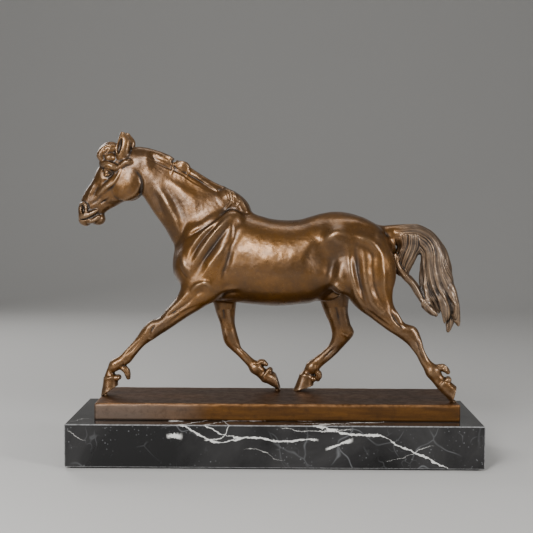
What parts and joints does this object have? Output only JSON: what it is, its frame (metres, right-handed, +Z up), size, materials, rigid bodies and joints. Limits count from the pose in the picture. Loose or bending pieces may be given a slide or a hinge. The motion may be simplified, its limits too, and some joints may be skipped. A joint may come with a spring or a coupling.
{
  "type": "horse statuette",
  "caption": "Cast bronze figure of a trotting horse on a low bronze plinth, bolted to a polished black marble block.",
  "frame": {"origin": "middle of the felt's underside, below the centre of the marble block", "axes": "+Z up, +X along the base towards the horse's tail, +Y across the base towards the horse's off (right) side"},
  "size_m": [0.343, 0.12, 0.2775],
  "materials": {
    "bronze": "satin brown patina, rubbed bright on the edges",
    "plinth_bronze": "satin brown patina with a worn top edge",
    "dowel": "as drawn",
    "fastener": "zinc plated",
    "marble": "polished black with fine white veins",
    "felt": "black wool felt"
  },
  "bodies": {
    "root": {"torso": "bronze", "neck": "bronze", "head": "bronze", "near_foreleg": "bronze", "off_foreleg": "bronze", "near_hindleg": "bronze", "off_hindleg": "bronze", "tail": "bronze", "bronze_plinth": "plinth_bronze", "hoof_dowels": "dowel", "plinth_studs": "fastener", "stud_washers": "fastener", "stud_nuts": "fastener", "marble_base": "marble", "felt_sheet": "felt"}
  },
  "joints": []
}
